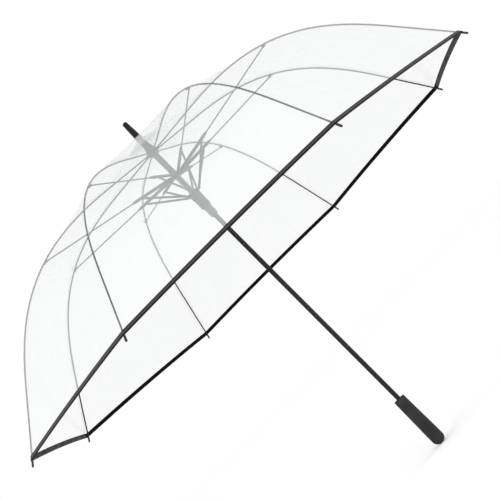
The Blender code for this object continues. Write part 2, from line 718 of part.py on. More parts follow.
def build_grip(look, button_look):
    edge = 1.0 * MM
    bore_bottom = SHAFT_BOTTOM - GAP
    heights = np.linspace(GRIP_LENGTH - edge, GRIP_BELLY_HEIGHT, 5)
    dome = [GRIP_DOME * (1 - math.sin(math.radians(a))) for a in np.linspace(0, 78, 7)]
    outer = [(grip_radius(h), h) for h in [*heights, *dome]]
    profile = [
        (0, bore_bottom),
        (FIXED_BORE, bore_bottom),
        (FIXED_BORE, GRIP_LENGTH),
        (GRIP_TOP_RADIUS - edge, GRIP_LENGTH),
        (GRIP_TOP_RADIUS - edge * 0.3, GRIP_LENGTH - edge * 0.3),
        *outer,
        (0, 0),
    ]
    grip = turned("grip", profile, ring=False)
    surface = grip_radius(BUTTON_HEIGHT)
    floor = surface + BUTTON_PROUD - BUTTON_DEPTH - BUTTON_TRAVEL - GAP
    half_width = BUTTON_WIDTH / 2
    half_length = BUTTON_LENGTH / 2
    pocket = box_mesh(
        "grip_pocket",
        (-half_width - GAP, floor, BUTTON_HEIGHT - half_length - GAP),
        (half_width + GAP, surface + 5 * MM, BUTTON_HEIGHT + half_length + GAP),
    )
    combined(grip, [pocket], "DIFFERENCE")
    finish(grip, look)
    body = box_mesh(
        "button",
        (-half_width, -BUTTON_DEPTH, -half_length),
        (half_width, 0, half_length),
    )
    button = add_object("button", body)
    button.location = (0, surface + BUTTON_PROUD, BUTTON_HEIGHT)
    bevel = button.modifiers.new("round", "BEVEL")
    bevel.width = 1.2 * MM
    bevel.segments = 2
    finish(button, button_look)


def film_line(lengths, offset):
    """Radius and height of the film's ridge above a rib: straight near the crown, then along it."""
    radius, height = rib_at(lengths, offset)
    join_radius, join_height = rib_at(FILM_JOIN, offset)
    share = np.clip(lengths / FILM_JOIN, 0, 1)
    straight_radius = FILM_APEX_RADIUS + (join_radius - FILM_APEX_RADIUS) * share
    straight_height = FILM_APEX_Z + (join_height - FILM_APEX_Z) * share
    inner = lengths < FILM_JOIN
    return np.where(inner, straight_radius, radius), np.where(inner, straight_height, height)


def build_gore_piece(name, span, rows, thickness, offset, pivot, look):
    """One gore's strip of film: level straight lines from rib to rib, over a span of lengths."""
    columns = 3
    start, end = span
    axis = (pivot[0] * math.cos(HALF_STEP), pivot[1])
    form = bmesh.new()
    bmesh.ops.create_grid(form, x_segments=rows, y_segments=columns, size=1.0)
    for vertex in form.verts:
        length = start + (end - start) * (vertex.co.x + 1) / 2
        radius, height = film_line(np.array(length), offset)
        out = float(radius) * math.cos(HALF_STEP)
        half = float(radius) * math.sin(HALF_STEP) - EDGE_GAP
        vertex.co = (out - axis[0], half * vertex.co.y, float(height) - axis[1])
    bmesh.ops.recalc_face_normals(form, faces=form.faces)
    mesh = bpy.data.meshes.new(name)
    form.to_mesh(mesh)
    form.free()
    sheet = add_object(name, mesh, CUTTERS)
    shell = sheet.modifiers.new("film", "SOLIDIFY")
    shell.thickness = thickness
    shell.offset = 0
    at_stations(name, baked(sheet), axis, look, shift=-HALF_STEP)


def build_canopy(film, tape):
    film_span = (0, HEM_LENGTH - HEM_WIDTH - GAP)
    build_gore_piece("panel", film_span, 22, FILM_THICKNESS, FILM_OFFSET, NOTCH_PIVOT, film)
    tape_span = (HEM_LENGTH - HEM_WIDTH, HEM_LENGTH)
    tape_offset = RIB_RADIUS + GAP * 1.3 + HEM_THICKNESS / 2
    build_gore_piece("hem", tape_span, 1, HEM_THICKNESS, tape_offset, FLEX_PIVOT, tape)


def main():
    clear_scene()
    black_gloss = material("black_gloss", (0.012, 0.012, 0.013), 0.18)
    black_steel = material("black_steel", (0.02, 0.02, 0.021), 0.22, 0.6)
    grey_plastic = material("grey_plastic", (0.10, 0.105, 0.105), 0.45)
    spring_steel = material("spring_steel", (0.45, 0.48, 0.46), 0.35, 1.0)
    rubber = material("grip_rubber", (0.036, 0.036, 0.037), 0.7)
    film = material("clear_film", (0.93, 0.94, 0.95), 0.08, 0.0, 0.18)
    tape = material("hem_tape", (0.02, 0.02, 0.021), 0.5)
    build_shaft(black_steel)
    build_ferrule(black_gloss)
    build_crown(grey_plastic, grey_plastic)
    build_spacer(grey_plastic)
    build_hub(grey_plastic)
    build_spring(spring_steel)
    build_runner(grey_plastic, grey_plastic)
    build_grip(rubber, black_gloss)
    build_rib_inner(black_steel)
    build_rib_outer(black_steel)
    build_stretcher(black_steel)
    build_strut(black_steel)
    build_canopy(film, tape)


main()
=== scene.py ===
import json
import math

import bpy
import numpy as np
from mathutils import Matrix, Vector


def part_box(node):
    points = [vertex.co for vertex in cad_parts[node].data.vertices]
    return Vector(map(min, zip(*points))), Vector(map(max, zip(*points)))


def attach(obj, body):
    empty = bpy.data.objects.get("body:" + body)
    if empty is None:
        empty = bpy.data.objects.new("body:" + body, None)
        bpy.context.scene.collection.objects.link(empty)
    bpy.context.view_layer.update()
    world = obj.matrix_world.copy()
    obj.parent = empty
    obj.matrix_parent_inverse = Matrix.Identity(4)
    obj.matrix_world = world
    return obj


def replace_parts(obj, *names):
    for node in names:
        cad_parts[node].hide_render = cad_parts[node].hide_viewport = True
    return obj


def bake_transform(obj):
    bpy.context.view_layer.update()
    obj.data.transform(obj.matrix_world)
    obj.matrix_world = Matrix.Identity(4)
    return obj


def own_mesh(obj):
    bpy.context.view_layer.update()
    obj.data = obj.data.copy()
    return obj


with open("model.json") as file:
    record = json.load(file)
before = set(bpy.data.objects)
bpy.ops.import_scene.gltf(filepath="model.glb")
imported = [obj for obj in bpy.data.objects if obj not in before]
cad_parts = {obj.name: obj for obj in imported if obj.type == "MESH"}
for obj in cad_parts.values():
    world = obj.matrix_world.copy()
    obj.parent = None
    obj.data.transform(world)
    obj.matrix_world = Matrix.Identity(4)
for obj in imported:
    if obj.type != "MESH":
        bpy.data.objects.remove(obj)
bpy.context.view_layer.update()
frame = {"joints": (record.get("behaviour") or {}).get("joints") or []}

MM = 0.001
RIBS = 8
HALF = math.pi / RIBS  # of the angle between two ribs

# The rib's line, the same law as the solids follow. Lengths are along it, from the crown pivot.
RIB_LENGTH = 750 * MM
HEM_LENGTH = 737.6 * MM
BEND_START, BEND_END = 0.126, 0.844  # shares of the hem length
END_SLOPE = math.radians(53)
PIVOT_RING = 14 * MM
CROWN_Z = 863.9864 * MM
RIB_FLEX = 380 * MM
FLEX_SPREAD = 50 * MM  # on each side of the flex, over which the rib bends
RIB_R = 1.6 * MM

# The film
FILM_LIFT = 2.3 * MM  # above the rib's line
FILM_JOIN = 110 * MM  # where it comes down onto the ribs
APEX_R = 7.4 * MM
APEX_Z = 902.9864 * MM
CROWN_FILM = 76 * MM  # of a gore's length, that gathers at the apex
STRIP_WIDTH = 10.4 * MM

# The stick and what is round it
SHAFT_R = 5.25 * MM
SHAFT_BORE = 4.25 * MM
SEAT_BORE = 5.55 * MM  # of the pieces fixed on the shaft
SLIDE_BORE = 5.6 * MM  # of the pieces that slide on it
SIDES = 64

# Pivots, and the layers of the bars beside a rib, as (low, high) in y
PIN_R = 0.9 * MM
RIVET_HEAD = 0.6 * MM
STRETCHER_LAYER = (2.8 * MM, 5.4 * MM)
STRUT_LAYER = (5.9 * MM, 8.3 * MM)


def rib_line(samples=1501):
    """Arc length, radius, height and slope of a rib: its slope is a smooth step of its length."""
    s = np.linspace(0, RIB_LENGTH, samples)
    share = np.clip((s / HEM_LENGTH - BEND_START) / (BEND_END - BEND_START), 0, 1)
    slope = END_SLOPE * share**2 * (3 - 2 * share)
    middle = (slope[1:] + slope[:-1]) / 2
    radius = PIVOT_RING + np.concatenate([[0], np.cumsum(np.cos(middle)) * s[1]])
    height = CROWN_Z - np.concatenate([[0], np.cumsum(np.sin(middle)) * s[1]])
    return s, radius, height, slope


LINE = rib_line()


def rib_at(s, lift=0.0):
    """Radius and height of the rib's line at length s, moved out along its normal by lift."""
    radius, height, slope = (np.interp(s, LINE[0], LINE[i]) for i in (1, 2, 3))
    return radius + lift * np.sin(slope), height + lift * np.cos(slope)


def film_at(s, lift=FILM_LIFT):
    """The film's ridge over a rib: straight from the apex to the join, then the rib's line."""
    radius, height = rib_at(s, lift)
    join = rib_at(FILM_JOIN, lift)
    share = np.clip(s / FILM_JOIN, 0, 1)
    near = s < FILM_JOIN
    return (
        np.where(near, APEX_R + (join[0] - APEX_R) * share, radius),
        np.where(near, APEX_Z + (join[1] - APEX_Z) * share, height),
    )


def joint(name):
    return next(j for j in frame["joints"] if j["name"] == name)


def station(name):
    """A joint of rib 1 as (radius, height)."""
    x, y, z = joint(name)["pos_m"]
    return np.array([math.hypot(x, y), z])


NOTCH = station("canopy_fold")
FLEX = station("rib_1_flex")
BRACKET = station("stretcher_1_turn")
ELBOW = station("strut_1_turn")
HUB = station("hub_level")
RUNNER = np.array([15.5 * MM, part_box("runner")[1].z - 4 * MM])


# ---------------------------------------------------------------- shapes


def outward(points, faces):
    """Turns a closed shape's faces round if its volume comes out negative."""
    volume = 0.0
    for face in faces:
        face = np.asarray(face)
        a = points[face[..., 0]]
        for i in range(1, face.shape[-1] - 1):
            b, c = points[face[..., i]], points[face[..., i + 1]]
            volume += np.sum(a * np.cross(b, c))
    return [np.asarray(f)[..., ::-1] for f in faces] if volume < 0 else faces


def rings(points, caps=True):
    """A closed shape through rings of points: neighbours are joined, and the ends capped."""
    count, around = points.shape[:2]
    index = np.arange(count * around).reshape(count, around)
    a, b = index[:-1], index[1:]
    quads = np.stack([a, np.roll(a, -1, 1), np.roll(b, -1, 1), b], -1).reshape(-1, 4)
    faces = [quads]
    if caps:
        faces += [index[:1, ::-1], index[-1:]]
    else:
        a, b = index[-1], index[0]
        faces.append(np.stack([a, np.roll(a, -1), np.roll(b, -1), b], -1))
    flat = points.reshape(-1, 3)
    return flat, outward(flat, faces)


def joined(*shapes):
    """Several shapes as one list of points and faces."""
    points, faces, count = [], [], 0
    for p, f in shapes:
        points.append(p)
        faces += [np.asarray(g) + count for g in f]
        count += len(p)
    return np.concatenate(points), faces


def spun(profile, sides=64, centre=(0, 0, 0), axis="z", closed=False):
    """A profile of (radius, along) carried round an axis; a closed profile makes a ring."""
    profile = np.asarray(profile, float)
    turn = np.arange(sides) * 2 * math.pi / sides
    r, h = profile[:, :1], profile[:, 1:]
    ones = np.ones_like(turn)
    c, s, a = r * np.cos(turn), r * np.sin(turn), h * ones
    points = np.stack({"z": (c, s, a), "y": (s, a, c), "x": (a, c, s)}[axis], -1)
    return rings(points + np.asarray(centre, float), caps=not closed)


def rounded(width, height, radius, steps=4):
    """Outline of a rectangle with rounded corners: quarter circles about four corner centres."""
    angle = np.linspace(0, math.pi / 2, steps + 1)
    parts = []
    for i, (sx, sy) in enumerate([(1, 1), (-1, 1), (-1, -1), (1, -1)]):
        turn = angle + i * math.pi / 2
        centre = np.array([sx * (width / 2 - radius), sy * (height / 2 - radius)])
        parts.append(centre + radius * np.stack([np.cos(turn), np.sin(turn)], -1))
    return np.concatenate(parts)


def swept(path, outline, scale=None, side=(0, 1, 0)):
    """An outline (across, up) carried along a path: across follows side, up is normal to both."""
    path = np.asarray(path, float)
    tangent = np.gradient(path, axis=0)
    tangent /= np.linalg.norm(tangent, axis=1, keepdims=True)
    side = np.broadcast_to(np.asarray(side, float), path.shape)
    up = np.cross(side, tangent)
    up /= np.linalg.norm(up, axis=1, keepdims=True)
    scale = np.ones((len(path), 2)) if scale is None else np.asarray(scale, float)
    if scale.ndim == 1:
        scale = np.stack([scale, scale], -1)
    outline = np.asarray(outline, float)
    across = outline[None, :, :1] * scale[:, None, :1] * side[:, None, :]
    upward = outline[None, :, 1:] * scale[:, None, 1:] * up[:, None, :]
    return rings(path[:, None, :] + across + upward)


def circle(radius, sides=16):
    turn = np.arange(sides) * 2 * math.pi / sides
    return radius * np.stack([np.cos(turn), np.sin(turn)], -1)


def plate(outline, low, high, edge=0.3 * MM):
    """A flat outline in the x-z plane between two layers of y, its edges eased by an inset ring."""
    outline = np.asarray(outline, float)
    middle = outline.mean(0)
    reach = np.linalg.norm(outline - middle, axis=1, keepdims=True)
    inset = middle + (outline - middle) * (1 - edge / reach)
    levels = [(inset, low), (outline, low + edge), (outline, high - edge), (inset, high)]
    points = [np.stack([o[:, 0], np.full(len(o), y), o[:, 1]], -1) for o, y in levels]
    return rings(np.stack(points))


def lug(start, end, r_start, r_end, low, high):
    """A tongue between two circles in the x-z plane: the round ends joined by straight sides."""
    start, end = np.asarray(start), np.asarray(end)
    way = math.atan2(*(end - start)[::-1])
    far = way + np.linspace(-math.pi / 2, math.pi / 2, 11)
    near = way + np.linspace(math.pi / 2, 3 * math.pi / 2, 11)
    outline = [end + r_end * np.stack([np.cos(far), np.sin(far)], -1)]
    outline.append(start + r_start * np.stack([np.cos(near), np.sin(near)], -1))
    return plate(np.concatenate(outline), low, high)


def pin(place, radius, low, high, head=0.0, head_radius=0.0):
    """A rivet along y: a plain shank, and at its high end a low domed head."""
    profile = [(radius, low), (radius, high)]
    if head:
        turn = np.linspace(0, math.pi / 2, 5)[:-1]
        profile += list(zip(head_radius * np.cos(turn), high + head * np.sin(turn)))
        profile.append((head_radius * 0.15, high + head))
    return spun(profile, 20, (place[0], 0, place[1]), "y")


def turned_to(shape, azimuth):
    """A shape made at azimuth 0, turned about the shaft's axis."""
    c, s = math.cos(azimuth), math.sin(azimuth)
    points, faces = shape
    return points @ np.array([[c, s, 0], [-s, c, 0], [0, 0, 1]]), faces


def piece(name, shape, look, uv=None, sharp=35):
    """A mesh object at the origin from a shape, smooth with its sharp edges kept."""
    points, faces = shape
    data = bpy.data.meshes.new(name)
    data.from_pydata(points.tolist(), [], [row for f in faces for row in f.tolist()])
    data.materials.append(look)
    data.shade_smooth()
    data.set_sharp_from_angle(angle=math.radians(sharp))
    if uv is not None:
        layer = data.uv_layers.new(name="UVMap")
        corner = np.empty(len(data.loops), np.int32)
        data.loops.foreach_get("vertex_index", corner)
        layer.data.foreach_set("uv", np.asarray(uv, np.float32)[corner].ravel())
    made = bpy.data.objects.new(name, data)
    bpy.context.scene.collection.objects.link(made)
    return made


def rib_azimuth(k):
    return HALF + 2 * HALF * (k - 1)


def in_frame(place, azimuth):
    """A (radius, height) point of a station as a point of the whole umbrella."""
    return (place[0] * math.cos(azimuth), place[0] * math.sin(azimuth), place[1])


# ---------------------------------------------------------------- shader maths


class Val:
    """A socket with arithmetic: each operator adds one Math node."""

    def __init__(self, maker, socket):
        self.maker, self.socket = maker, socket

    def _math(self, kind, a, b):
        return self.maker.node("ShaderNodeMath", {"operation": kind}, {0: a, 1: b})

    def __add__(self, other):
        return self._math("ADD", self, other)

    def __radd__(self, other):
        return self._math("ADD", other, self)

    def __sub__(self, other):
        return self._math("SUBTRACT", self, other)

    def __rsub__(self, other):
        return self._math("SUBTRACT", other, self)

    def __mul__(self, other):
        return self._math("MULTIPLY", self, other)

    def __rmul__(self, other):
        return self._math("MULTIPLY", other, self)


class Finish:
    """A material and the nodes that make it."""

    def __init__(self, name, colour, roughness, **settings):
        self.material = bpy.data.materials.new(name)
        self.material.use_nodes = True
        self.tree = self.material.node_tree
        self.shader = self.tree.nodes["Principled BSDF"]
        self.shader.inputs["Base Color"].default_value = (*colour, 1)
        self.shader.inputs["Roughness"].default_value = roughness
        for key, value in settings.items():
            self.shader.inputs[key.replace("_", " ")].default_value = value

    def node(self, kind, settings=None, inputs=None, output=0):
        made = self.tree.nodes.new(kind)
        for key, value in (settings or {}).items():
            setattr(made, key, value)
        for key, value in (inputs or {}).items():
            self.plug(value, made.inputs[key])
        return Val(self, made.outputs[output])

    def plug(self, value, socket):
        if isinstance(value, Val):
            self.tree.links.new(value.socket, socket)
        else:
            socket.default_value = value

    def set(self, **values):
        for key, value in values.items():
            self.plug(value, self.shader.inputs[key.replace("_", " ")])
        return self

    def place(self, scale=(1, 1, 1), source="Object"):
        coords = self.node("ShaderNodeTexCoord", output=source)
        return self.node("ShaderNodeMapping", {}, {"Vector": coords, "Scale": scale})

    def noise(self, scale, detail=3.0, rough=0.5, stretch=(1, 1, 1), source="Object"):
        inputs = {"Vector": self.place(stretch, source), "Scale": scale}
        inputs |= {"Detail": detail, "Roughness": rough}
        return self.node("ShaderNodeTexNoise", {}, inputs)

    def cells(self, scale):
        inputs = {"Vector": self.place(), "Scale": scale}
        return self.node("ShaderNodeTexVoronoi", {}, inputs, "Distance")

    def uv(self):
        """The two UV values."""
        coords = self.node("ShaderNodeTexCoord", output="UV")
        u = self.node("ShaderNodeSeparateXYZ", {}, {"Vector": coords})
        return u, Val(self, u.socket.node.outputs[1])

    def between(self, value, low, high, to_low, to_high):
        """A smooth step of value from to_low at low to to_high at high."""
        inputs = {"Value": value, 1: low, 2: high, 3: to_low, 4: to_high}
        return self.node("ShaderNodeMapRange", {"interpolation_type": "SMOOTHSTEP"}, inputs)

    def band(self, value, rise, fall):
        """1 between two smooth edges, each given as (start, end), and 0 outside them."""
        return self.between(value, *rise, 0.0, 1.0) * self.between(value, *fall, 1.0, 0.0)

    def mix(self, share, a, b):
        """The colour a, going to b as share goes from 0 to 1."""
        inputs = {0: share, 6: (*a, 1), 7: (*b, 1)}
        return self.node("ShaderNodeMix", {"data_type": "RGBA"}, inputs, 2)

    def bump(self, height, strength, distance):
        inputs = {"Height": height, "Strength": strength, "Distance": distance}
        normal = self.node("ShaderNodeBump", {}, inputs)
        self.plug(normal, self.shader.inputs["Normal"])
        return self


def tinted(colour, factor):
    return tuple(c * factor for c in colour)


def lacquered_steel(name, colour, roughness, worn):
    """Steel under black lacquer: a fine orange-peel ripple, dust in the gloss, handling marks."""
    gloss = {"Specular_IOR_Level": 0.2, "Coat_Weight": 0.12, "Coat_Roughness": 0.06}
    look = Finish(name, colour, roughness, **gloss)
    cloud = look.noise(55, 4, 0.6)
    peel = look.noise(900, 2)
    marks = look.noise(260, 3, 0.7, (1, 1, 0.08))
    dust = look.between(cloud, 0.35, 0.7, -0.05, 0.07)
    scuff = look.between(marks, 0.62, 0.74, 0.0, 1.0)
    look.set(
        Roughness=roughness + dust + scuff * 0.12,
        Base_Color=look.mix(scuff * worn, colour, tinted(colour, 3.2)),
    )
    return look.bump(peel + scuff * 0.3, 0.12, 0.0002).material


def moulded(name, colour, roughness, grain=1400, gloss=0.3):
    """Moulded plastic: a fine spark-eroded grain, a slow shift of tone, and rubbed high spots."""
    look = Finish(name, colour, roughness, Specular_IOR_Level=gloss)
    cloud = look.noise(70, 3)
    fine = look.noise(grain, 3, 0.6)
    flow = look.noise(160, 2, 0.5, (1, 1, 0.2))
    tone = look.between(cloud, 0.3, 0.7, 0.0, 1.0)
    look.set(
        Base_Color=look.mix(tone, tinted(colour, 0.88), tinted(colour, 1.14)),
        Roughness=roughness + look.between(flow, 0.3, 0.75, -0.06, 0.09),
    )
    return look.bump(fine, 0.25, 0.00012).material


def soft_rubber():
    """Soft-touch rubber: a matte speckle, a faint bloom where a palm rubs, and a fine pebble."""
    colour, roughness = (0.020, 0.020, 0.021), 0.72
    look = Finish("soft_touch_rubber", colour, roughness, Specular_IOR_Level=0.22)
    speckle = look.noise(1800, 4, 0.7)
    bloom = look.noise(28, 4, 0.6)
    pebble = look.cells(1500.0)
    share = look.between(bloom, 0.35, 0.75, 0.0, 0.5) + look.between(speckle, 0.55, 0.8, 0.0, 0.4)
    look.set(
        Base_Color=look.mix(share, colour, (0.036, 0.036, 0.038)),
        Roughness=roughness + look.between(bloom, 0.3, 0.7, 0.06, -0.08),
    )
    return look.bump(pebble + speckle * 0.5, 0.22, 0.00015).material


def spring_wire():
    """Drawn and plated wire: lines along the draw, and a yellow-grey stain of oil in patches."""
    colour, roughness = (0.36, 0.38, 0.36), 0.36
    look = Finish("plated_spring_wire", colour, roughness, Metallic=0.75)
    lines = look.noise(2600, 2, 0.5, (1, 1, 0.3))
    stain = look.noise(120, 4, 0.6)
    look.set(
        Base_Color=look.mix(look.between(stain, 0.4, 0.7, 0.0, 1.0), colour, (0.26, 0.26, 0.22)),
        Roughness=roughness + look.between(stain, 0.35, 0.7, -0.05, 0.12),
    )
    return look.bump(lines, 0.15, 0.0001).material


def clear_film(name, base, seam):
    """Clear sheet with a faint white haze: haze in clouds, a welded band at the rib, gathers at the
    apex, and painted shade that darkens its colour towards the apex.

    U is the distance from the rib and V the distance from the apex, in metres.
    """
    colour, roughness = (0.76, 0.772, 0.775), 0.16
    look = Finish(name, colour, roughness, Specular_IOR_Level=0.4)
    from_rib, from_apex = look.uv()
    haze = look.noise(9, 4, 0.55)
    crease = look.noise(22, 3, 0.6, (1, 1, 1), "UV")
    fine = look.noise(420, 2)
    weld = look.between(from_rib, 0.0024, 0.0036, seam, 0.0)
    weld = weld * look.between(from_apex, 0.16, 0.3, 0.0, 1.0)
    edge = look.band(from_rib, (0.0036, 0.0048), (0.0052, 0.0064))
    gather = look.between(from_apex, 0.006, 0.05, 1.0, 0.0)
    fuzz = look.between(look.noise(240, 4, 0.7), 0.35, 0.65, 0.5, 1.0)
    # painted shade: the film's colour is pulled towards dark grey near the apex, fading out about
    # half a metre down
    painted_apex_shade = look.between(from_apex, 0.06, 0.46, 0.32, 0.0)
    clouds = look.between(haze, 0.3, 0.7, -0.02, 0.025)
    look.set(
        Alpha=base + clouds + weld + edge * 0.05 + gather * fuzz * 0.4,
        # the gathered film and the painted apex shade both pull the colour towards dark grey
        Base_Color=look.mix(gather * fuzz * 0.7 + painted_apex_shade, colour, (0.16, 0.165, 0.165)),
        Roughness=roughness + look.between(haze, 0.35, 0.7, -0.04, 0.08) + gather * 0.6,
    )
    return look.bump(crease + fine * 0.01, 0.25, 0.003).material


def hem_tape():
    """Dull black PVC tape folded over the edge, finely embossed, with a painted highlight: dark
    grey along its middle between the black folds.

    U goes across the outer face from fold to fold.
    """
    roughness = 0.34
    look = Finish("hem_tape", (0.02, 0.02, 0.021), roughness, Specular_IOR_Level=0.03)
    across, _ = look.uv()
    # painted highlight: a lighter band along the middle of the tape, from fold to fold
    middle = look.band(across, (0.18, 0.32), (0.68, 0.82))
    emboss = look.cells(900.0)
    wave = look.noise(60, 3)
    look.set(
        # base colour runs from near black at the folds to the painted highlight's dark grey in the
        # middle
        Base_Color=look.mix(middle, (0.003, 0.003, 0.0035), (0.052, 0.053, 0.054)),
        Roughness=roughness + look.between(wave, 0.3, 0.7, -0.04, 0.1),
    )
    return look.bump(emboss * 0.3 + wave, 0.3, 0.0004).material


SHAFT_LACQUER = lacquered_steel("shaft_lacquer", (0.005, 0.005, 0.0055), 0.16, 0.25)
RIB_LACQUER = lacquered_steel("rib_lacquer", (0.007, 0.007, 0.0075), 0.26, 0.35)
FERRULE_GLOSS = moulded("ferrule_gloss", (0.004, 0.004, 0.0045), 0.13, 900, 0.25)
NOTCH_PLASTIC = moulded("notch_plastic", (0.02, 0.021, 0.021), 0.45)
RUNNER_PLASTIC = moulded("runner_plastic", (0.018, 0.019, 0.021), 0.4)
SLEEVE_PLASTIC = moulded("sleeve_plastic", (0.075, 0.078, 0.078), 0.38)
SPACER_PLASTIC = moulded("spacer_plastic", (0.022, 0.023, 0.023), 0.3)
TIP_PLASTIC = moulded("tip_plastic", (0.02, 0.02, 0.021), 0.38)
RUBBER = soft_rubber()
WIRE = spring_wire()
FILM = clear_film("clear_film", 0.395, -0.29)
STRIP_FILM = clear_film("seam_film", 0.07, 0.0)
TAPE = hem_tape()


# ---------------------------------------------------------------- stick and fittings


def ease(profile, radius, steps=3):
    """Rounds the corners of an open profile: each becomes a quadratic curve between its cuts."""
    profile = np.asarray(profile, float)
    out = [profile[0]]
    for before, corner, after in zip(profile[:-2], profile[1:-1], profile[2:]):
        a, b = before - corner, after - corner
        la, lb = np.linalg.norm(a), np.linalg.norm(b)
        cut = min(radius, la * 0.45, lb * 0.45)
        p, q = corner + a / la * cut, corner + b / lb * cut
        t = np.linspace(0, 1, steps + 1)[:, None]
        out += list((1 - t) ** 2 * p + 2 * t * (1 - t) * corner + t**2 * q)
    out.append(profile[-1])
    return np.array(out)


def mm(*pairs):
    return [(r * MM, z * MM) for r, z in pairs]


def loop(profile, radius=0.3 * MM):
    """A closed profile with eased corners."""
    profile = np.asarray(profile, float)
    start = (profile[0] + profile[-1]) / 2
    return ease(np.vstack([start, profile, start]), radius)[:-1]


def raised(profile, height):
    return [(r, z + height) for r, z in profile]


def heights(node):
    """Lowest and highest z of a solid."""
    low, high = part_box(node)
    return low.z, high.z


def build_shaft():
    """Tube with a shallow rolled groove above the handle and one under the crown, for the stops."""
    low, high = heights("shaft")
    profile = [(SHAFT_R, low)]
    for stop in (low + 118 * MM, high - 92 * MM):
        profile += [(SHAFT_R, stop - 1.2 * MM), (5.02 * MM, stop), (SHAFT_R, stop + 1.2 * MM)]
    profile += [(SHAFT_R, high), (SHAFT_BORE, high), (SHAFT_BORE, low)]
    made = piece("shaft_tube", spun(loop(profile), SIDES, closed=True), SHAFT_LACQUER)
    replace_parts(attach(made, "root"), "shaft")


def build_ferrule():
    """Cap that tapers to a flat end, with a bead at its foot, and the washer over the film."""
    low, high = heights("ferrule")
    bore = high - 14 * MM
    profile = [
        (0.4 * MM, high),
        (4.4 * MM, high),
        (5.7 * MM, high - 1.2 * MM),
        (6.1 * MM, high - 9 * MM),
        (7.5 * MM, low + 9 * MM),
        (8.0 * MM, low + 3.4 * MM),
        (7.8 * MM, low + 2.9 * MM),
        (8.2 * MM, low + 2.4 * MM),
        (8.2 * MM, low),
        (SEAT_BORE, low),
        (SEAT_BORE, bore),
        (0.4 * MM, bore),
    ]
    made = piece("ferrule_cap", spun(ease(profile, 1.1 * MM, 5), SIDES), FERRULE_GLOSS, sharp=50)
    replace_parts(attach(made, "root"), "ferrule")
    low, high = heights("crown_washer")
    profile = [
        (SEAT_BORE, low),
        (9.4 * MM, low),
        (9.3 * MM, low + 1.1 * MM),
        (8.3 * MM, high),
        (SEAT_BORE, high),
    ]
    made = piece("apex_washer", spun(loop(profile, 0.5 * MM), SIDES, closed=True), FERRULE_GLOSS)
    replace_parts(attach(made, "root"), "crown_washer")


def around(shape):
    """A station's shape repeated at the eight ribs."""
    return joined(*[turned_to(shape, rib_azimuth(k)) for k in range(1, RIBS + 1)])


def build_crown():
    """Notch ring with a groove, a cone under the film and eight pinned ears; the spacer tube."""
    profile = mm(
        (5.55, -8),
        (11.2, -8),
        (12, -7),
        (12, -3.4),
        (8.8, -3.4),
        (8.8, 3.4),
        (12, 3.4),
        (12, 7),
        (10.5, 11),
        (8.4, 18),
        (7.2, 28),
        (7.0, 38.3),
        (5.55, 38.3),
    )
    body = spun(loop(raised(profile, NOTCH[1]), 0.6 * MM), SIDES, closed=True)
    ear = lug((8.2 * MM, NOTCH[1]), NOTCH, 2.5 * MM, 2.5 * MM, -4.4 * MM, -1.8 * MM)
    rivet = pin(NOTCH, PIN_R, -4.4 * MM, 1.5 * MM)
    made = piece("crown_carrier", joined(body, around(joined(ear, rivet))), NOTCH_PLASTIC)
    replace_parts(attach(made, "root"), "crown_notch")
    low, high = heights("spacer_tube")
    profile = [
        (7.2 * MM, low),
        (7.2 * MM, low + 2 * MM),
        (6.9 * MM, low + 2.6 * MM),
        (6.9 * MM, high - 2.6 * MM),
        (7.2 * MM, high - 2 * MM),
        (7.2 * MM, high),
        (SEAT_BORE, high),
        (SEAT_BORE, low),
    ]
    made = piece("spacer_barrel", spun(loop(profile), SIDES, closed=True), SPACER_PLASTIC)
    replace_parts(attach(made, "root"), "spacer_tube")


def build_hub():
    """Ring with a groove round its middle and eight pinned ears."""
    half = [(SLIDE_BORE, 6 * MM), *mm((8, 6), (9, 5), (9, 1.4), (8.2, 0.9))]
    profile = [(r, -z) for r, z in half] + half[::-1]
    body = spun(loop(raised(profile, HUB[1]), 0.5 * MM), SIDES, closed=True)
    ear = lug((7.2 * MM, HUB[1]), HUB, 2.6 * MM, 2.5 * MM, -0.2 * MM, 2.4 * MM)
    rivet = pin(HUB, PIN_R, -0.2 * MM, STRETCHER_LAYER[1])
    made = piece("hub_carrier", joined(body, around(joined(ear, rivet))), NOTCH_PLASTIC)
    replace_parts(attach(made, "hub"), "hub")


def build_runner():
    """Runner with a flared head, a waisted body with hoops and eight ears, and its sleeve."""
    top = heights("runner")[1]
    head = mm((11.0, 0), (13.0, -1.6), (13.0, -9.5), (12.4, -11.0), (12.4, -13.0))
    waist = mm((12.9, -13.8), (12.9, -15.4), (12.2, -16.4), (11.6, -30.0), (11.6, -36.0))
    foot = mm((12.0, -37.0), (12.0, -43.5), (10.6, -45.0))
    profile = [(SLIDE_BORE, 0), *head, *waist, *foot, (SLIDE_BORE, -45.0 * MM)]
    body = spun(loop(raised(profile, top)[::-1], 0.7 * MM), SIDES, closed=True)
    ear = lug((10.5 * MM, RUNNER[1]), RUNNER, 2.6 * MM, 2.5 * MM, *STRETCHER_LAYER)
    made = piece("runner_body", joined(body, around(ear)), RUNNER_PLASTIC)
    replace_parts(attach(made, "runner"), "runner")
    low, high = heights("runner_sleeve")
    outer = mm((9, 0), (9, -6), (8.7, -6.8), (8.7, -8.2), (9, -9))
    outer += mm((8.9, -20), (8.4, -23.6), (7.6, -24.8))
    profile = raised(outer, high) + [(SLIDE_BORE, low), (SLIDE_BORE, high)]
    made = piece("runner_collar", spun(loop(profile, 0.4 * MM), SIDES, closed=True), SLEEVE_PLASTIC)
    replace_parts(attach(made, "runner"), "runner_sleeve")


